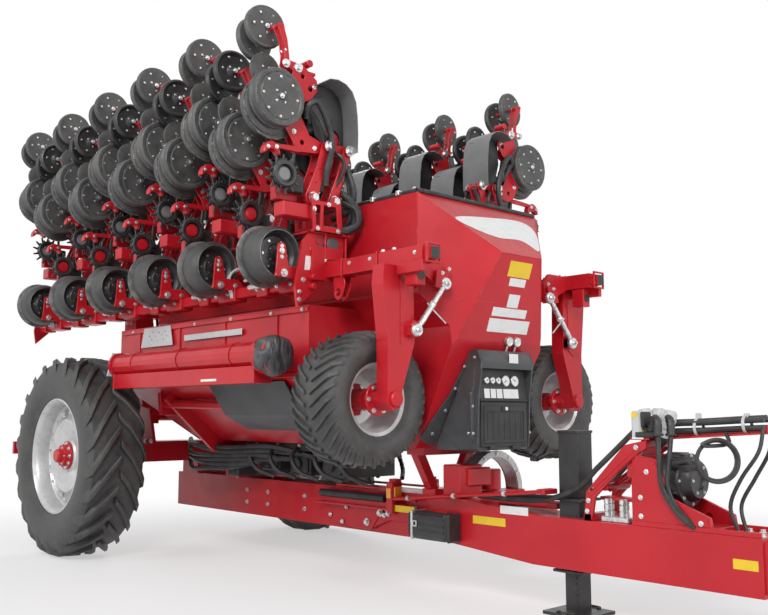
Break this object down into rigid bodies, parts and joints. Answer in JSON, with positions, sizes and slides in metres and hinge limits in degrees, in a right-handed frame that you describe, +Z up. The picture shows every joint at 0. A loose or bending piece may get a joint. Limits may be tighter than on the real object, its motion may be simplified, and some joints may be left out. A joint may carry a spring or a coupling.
{
  "type": "trailed precision seed drill",
  "caption": "Folding row-crop seed drill with a central hopper, two wings of seeding units folded forward, large rear wheels, drawbar and parking jack.",
  "frame": {"origin": "middle of the footprint box on the ground", "axes": "+X forwards along the drawbar, +Y to the left, +Z up"},
  "size_m": [7.123, 3, 3.88],
  "materials": {
    "red_paint": "glossy red enamel over welded and folded steel, worn along edges",
    "anthracite_panel": "satin dark grey powder coat",
    "black_metal": "semi-gloss black paint",
    "black_plastic": "textured black moulded plastic and rubber-edged covers",
    "tyre_rubber": "dusty black tyre rubber",
    "rim_silver": "silver grey painted wheel rim",
    "bright_zinc": "zinc plated and galvanised steel",
    "disc_black": "dark coated steel discs and moulded wheels",
    "hose_rubber": "matt black hose rubber",
    "label_white": "blank white film labels",
    "label_yellow": "blank yellow film labels",
    "reflector_amber": "amber reflectors with a small prism pattern",
    "lamp_red": "red lamp glass",
    "panel_grey": "light grey painted sheet",
    "meter_grey": "mid grey moulded covers of the seed meters"
  },
  "bodies": {
    "chassis": {"canister": "black_plastic", "connector_rack": "red_paint", "console": "anthracite_panel", "control_rod": "red_paint", "drawbar_eye": "black_metal", "filling_auger": "red_paint", "front_struts": "black_metal", "hopper_belly": "red_paint", "hopper_top": "red_paint", "hose_couplers": "bright_zinc", "jack_sleeve": "black_metal", "left_side_bracket": "red_paint", "main_beam": "red_paint", "metering_unit": "black_metal", "pump_bracket": "red_paint", "pump_drum": "black_metal", "rear_axle": "red_paint", "rear_tower": "red_paint", "right_side_bracket": "red_paint", "seed_fan": "bright_zinc", "tank_frame": "red_paint"},
    "carrier": {"carrier": "red_paint"},
    "jack_leg": {"jack_leg": "black_metal"},
    "front_lid": {"front_lid": "black_plastic"},
    "rear_lid": {"rear_lid": "black_plastic"},
    "tool_box_door": {"tool_box_door": "black_plastic"},
    "left_wing": {"left_toolbar": "red_paint", "left_coulter_gang": "red_paint", "left_front_beam": "red_paint", "left_support_arm": "red_paint", "left_turnbuckle": "bright_zinc", "left_row_unit_1": "red_paint", "left_row_unit_2": "red_paint", "left_row_unit_3": "red_paint", "left_row_unit_4": "red_paint", "left_row_unit_5": "red_paint", "left_row_unit_6": "red_paint"},
    "left_rear_wheel": {"left_rear_tyre": "tyre_rubber", "left_rear_rim": "rim_silver"},
    "left_support_wheel": {"left_support_tyre": "tyre_rubber", "left_support_rim": "rim_silver"},
    "right_wing": {"right_toolbar": "red_paint", "right_coulter_gang": "red_paint", "right_front_beam": "red_paint", "right_support_arm": "red_paint", "right_turnbuckle": "bright_zinc", "right_row_unit_1": "red_paint", "right_row_unit_2": "red_paint", "right_row_unit_3": "red_paint", "right_row_unit_4": "red_paint", "right_row_unit_5": "red_paint", "right_row_unit_6": "red_paint"},
    "right_rear_wheel": {"right_rear_tyre": "tyre_rubber", "right_rear_rim": "rim_silver"},
    "right_support_wheel": {"right_support_tyre": "tyre_rubber", "right_support_rim": "rim_silver"}
  },
  "joints": [
    {"name": "toolbar_tilt", "type": "hinge", "parent": "chassis", "child": "carrier", "pos_m": [-2.3425, 0, 1.15], "axis": [0, -1, 0], "range_deg": [0, 90]},
    {"name": "left_wing_fold", "type": "hinge", "parent": "carrier", "child": "left_wing", "pos_m": [-2.7675, 0.8, 2.27], "axis": [0, 0, 1], "range_deg": [0, 90]},
    {"name": "left_support_wheel_spin", "type": "hinge", "parent": "left_wing", "child": "left_support_wheel", "pos_m": [1.1075, 0.9, 1.26], "axis": [1, 0, 0], "continuous": true},
    {"name": "left_rear_wheel_spin", "type": "hinge", "parent": "chassis", "child": "left_rear_wheel", "pos_m": [-2.1225, 1.26, 0.823], "axis": [0, 1, 0], "continuous": true},
    {"name": "right_wing_fold", "type": "hinge", "parent": "carrier", "child": "right_wing", "pos_m": [-2.7675, -0.8, 2.27], "axis": [0, 0, -1], "range_deg": [0, 90]},
    {"name": "right_support_wheel_spin", "type": "hinge", "parent": "right_wing", "child": "right_support_wheel", "pos_m": [1.1075, -0.9, 1.26], "axis": [1, 0, 0], "continuous": true},
    {"name": "right_rear_wheel_spin", "type": "hinge", "parent": "chassis", "child": "right_rear_wheel", "pos_m": [-2.1225, -1.26, 0.823], "axis": [0, 1, 0], "continuous": true},
    {"name": "jack_slide", "type": "slide", "parent": "chassis", "child": "jack_leg", "axis": [0, 0, 1], "range_m": [0, 0.22]},
    {"name": "rear_lid_hinge", "type": "hinge", "parent": "chassis", "child": "rear_lid", "pos_m": [-1.7925, 0, 2.6], "axis": [0, -1, 0], "range_deg": [0, 80]},
    {"name": "front_lid_hinge", "type": "hinge", "parent": "chassis", "child": "front_lid", "pos_m": [-0.2225, 0, 2.6], "axis": [0, -1, 0], "range_deg": [0, 80]},
    {"name": "tool_box_door_hinge", "type": "hinge", "parent": "chassis", "child": "tool_box_door", "pos_m": [1.4988, 0, 0.952], "axis": [0, 1, 0], "range_deg": [0, 88]}
  ],
  "couplings": [
    {"joint": "left_wing_fold", "follows": "toolbar_tilt", "ratio": 1},
    {"joint": "right_wing_fold", "follows": "toolbar_tilt", "ratio": 1}
  ]
}
